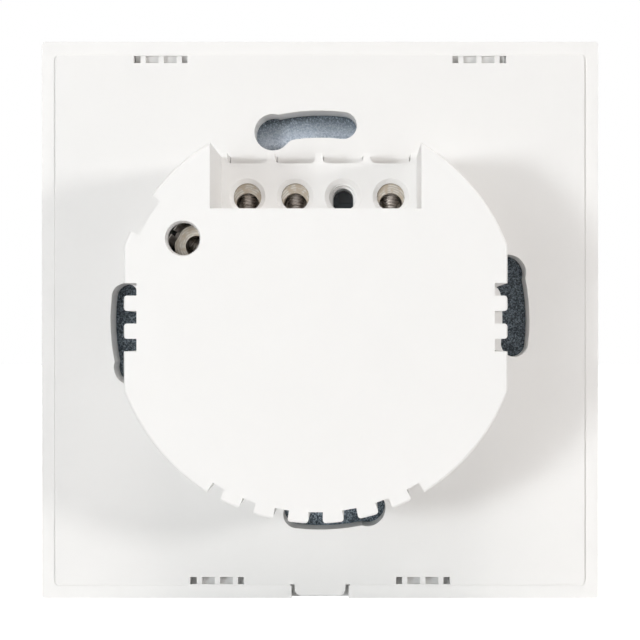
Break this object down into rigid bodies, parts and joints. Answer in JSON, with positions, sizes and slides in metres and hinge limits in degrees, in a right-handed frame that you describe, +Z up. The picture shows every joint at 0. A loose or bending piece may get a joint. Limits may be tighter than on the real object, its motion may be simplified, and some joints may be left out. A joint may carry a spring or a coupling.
{
  "type": "smart roller shutter switch",
  "caption": "Square glass touch switch for a roller shutter, with a round notched back body, a terminal recess and clamp screw terminals for a round wall box.",
  "frame": {"origin": "centre of the wall plane, on the base plate's back face", "axes": "+Y into the wall along the body's axis, +Z up, +X to the right as seen from the room"},
  "size_m": [0.086, 0.035, 0.086],
  "materials": {
    "white_plastic": "satin white polycarbonate",
    "frame_white": "satin white polycarbonate",
    "back_coated_glass": "dark slate coating with fine pale specks behind clear glass",
    "black_film": "dark film",
    "milky_diffuser": "milky polycarbonate",
    "green_board": "glass fibre board with green resist",
    "dark_board": "glass fibre board with black resist",
    "foam": "conductive foam",
    "light_chip": "moulded light chip",
    "shield_tin": "tinned steel",
    "black_resin": "moulded resin",
    "connector_black": "moulded nylon",
    "zinc_screw": "zinc plated steel",
    "nickel_block": "nickel plated brass",
    "clamp_steel": "nickel plated steel",
    "ferrite": "ferrite",
    "winding_tape": "copper winding under yellow tape",
    "capacitor_sleeve": "shrink sleeve on an aluminium can",
    "film_capacitor_yellow": "moulded box",
    "varistor_blue": "epoxy coating",
    "fuse_green": "cement coating",
    "inductor_sleeve": "copper winding on a ferrite bobbin under sleeve",
    "relay_case_blue": "moulded nylon",
    "relay_base_black": "moulded phenolic",
    "copper_coil": "enamelled copper winding",
    "soft_iron": "nickel plated soft iron",
    "contact_bronze": "phosphor bronze"
  },
  "bodies": {
    "switch_base": {"base_plate": "white_plastic", "back_housing": "white_plastic", "touch_board": "green_board", "touch_pads": "foam", "indicator_leds": "light_chip", "radio_module": "green_board", "radio_shield": "shield_tin", "touch_chip": "black_resin", "board_header": "connector_black", "board_socket": "connector_black", "touch_board_screws": "zinc_screw", "power_board": "dark_board", "case_screws": "zinc_screw", "transformer_core": "ferrite", "transformer_winding": "winding_tape", "bulk_capacitors": "capacitor_sleeve", "filter_capacitor": "film_capacitor_yellow", "varistor": "varistor_blue", "fuse_resistor": "fuse_green", "bridge_rectifier": "black_resin", "filter_inductor": "inductor_sleeve", "output_capacitor": "capacitor_sleeve", "converter_chip": "black_resin", "line_terminal": "nickel_block", "up_terminal": "nickel_block", "down_terminal": "nickel_block", "neutral_terminal": "nickel_block", "relay_up_case": "relay_case_blue", "relay_up_base": "relay_base_black", "relay_up_coil": "copper_coil", "relay_up_yoke": "soft_iron", "relay_up_fixed_contact": "contact_bronze", "relay_down_case": "relay_case_blue", "relay_down_base": "relay_base_black", "relay_down_coil": "copper_coil", "relay_down_yoke": "soft_iron", "relay_down_fixed_contact": "contact_bronze"},
    "front_panel": {"glass_panel": "back_coated_glass", "glass_backing_film": "black_film", "light_diffuser": "milky_diffuser", "panel_frame": "frame_white"},
    "line_pad": {"line_clamp_pad": "clamp_steel"},
    "line_screw": {"line_clamp_screw": "clamp_steel"},
    "up_pad": {"up_clamp_pad": "clamp_steel"},
    "up_screw": {"up_clamp_screw": "clamp_steel"},
    "down_pad": {"down_clamp_pad": "clamp_steel"},
    "down_screw": {"down_clamp_screw": "clamp_steel"},
    "neutral_pad": {"neutral_clamp_pad": "clamp_steel"},
    "neutral_screw": {"neutral_clamp_screw": "clamp_steel"},
    "relay_up_armature_set": {"relay_up_armature": "soft_iron", "relay_up_contact_arm": "contact_bronze"},
    "relay_down_armature_set": {"relay_down_armature": "soft_iron", "relay_down_contact_arm": "contact_bronze"}
  },
  "joints": [
    {"name": "front_panel_pull_off", "type": "slide", "parent": "switch_base", "child": "front_panel", "axis": [0, -1, 0], "range_m": [0, 0.012]},
    {"name": "line_pad_lift", "type": "slide", "parent": "switch_base", "child": "line_pad", "axis": [0, 0, 1], "range_m": [0, 0.0026]},
    {"name": "line_screw_turn", "type": "hinge", "parent": "line_pad", "child": "line_screw", "pos_m": [0.0108, 0.00255, 0.01735], "axis": [0, 0, 1], "range_deg": [0, 2081]},
    {"name": "up_pad_lift", "type": "slide", "parent": "switch_base", "child": "up_pad", "axis": [0, 0, 1], "range_m": [0, 0.0026]},
    {"name": "up_screw_turn", "type": "hinge", "parent": "up_pad", "child": "up_screw", "pos_m": [0.0036, 0.00255, 0.01735], "axis": [0, 0, 1], "range_deg": [0, 2081]},
    {"name": "down_pad_lift", "type": "slide", "parent": "switch_base", "child": "down_pad", "axis": [0, 0, 1], "range_m": [0, 0.0026]},
    {"name": "down_screw_turn", "type": "hinge", "parent": "down_pad", "child": "down_screw", "pos_m": [-0.0108, 0.00255, 0.01735], "axis": [0, 0, 1], "range_deg": [0, 2081]},
    {"name": "neutral_pad_lift", "type": "slide", "parent": "switch_base", "child": "neutral_pad", "axis": [0.8572, 0, 0.515], "range_m": [0, 0.00204]},
    {"name": "neutral_screw_turn", "type": "hinge", "parent": "neutral_pad", "child": "neutral_screw", "pos_m": [0.01701, 0.016, 0.01022], "axis": [0.8572, 0, 0.515], "range_deg": [0, 1633]},
    {"name": "relay_up_armature_hinge", "type": "hinge", "parent": "switch_base", "child": "relay_up_armature_set", "pos_m": [-0.0056, 0.01098, -0.00377], "axis": [1, 0, 0], "range_deg": [0, 4], "stiffness_Nm_per_rad": 0.02, "springref_deg": -2.01},
    {"name": "relay_down_armature_hinge", "type": "hinge", "parent": "switch_base", "child": "relay_down_armature_set", "pos_m": [0.0056, 0.01098, -0.00377], "axis": [1, 0, 0], "range_deg": [0, 4], "stiffness_Nm_per_rad": 0.02, "springref_deg": -2.01}
  ],
  "couplings": [
    {"joint": "line_screw_turn", "follows": "line_pad_lift", "rad_per_m": 13963},
    {"joint": "up_screw_turn", "follows": "up_pad_lift", "rad_per_m": 13963},
    {"joint": "down_screw_turn", "follows": "down_pad_lift", "rad_per_m": 13963},
    {"joint": "neutral_screw_turn", "follows": "neutral_pad_lift", "rad_per_m": 13963}
  ]
}
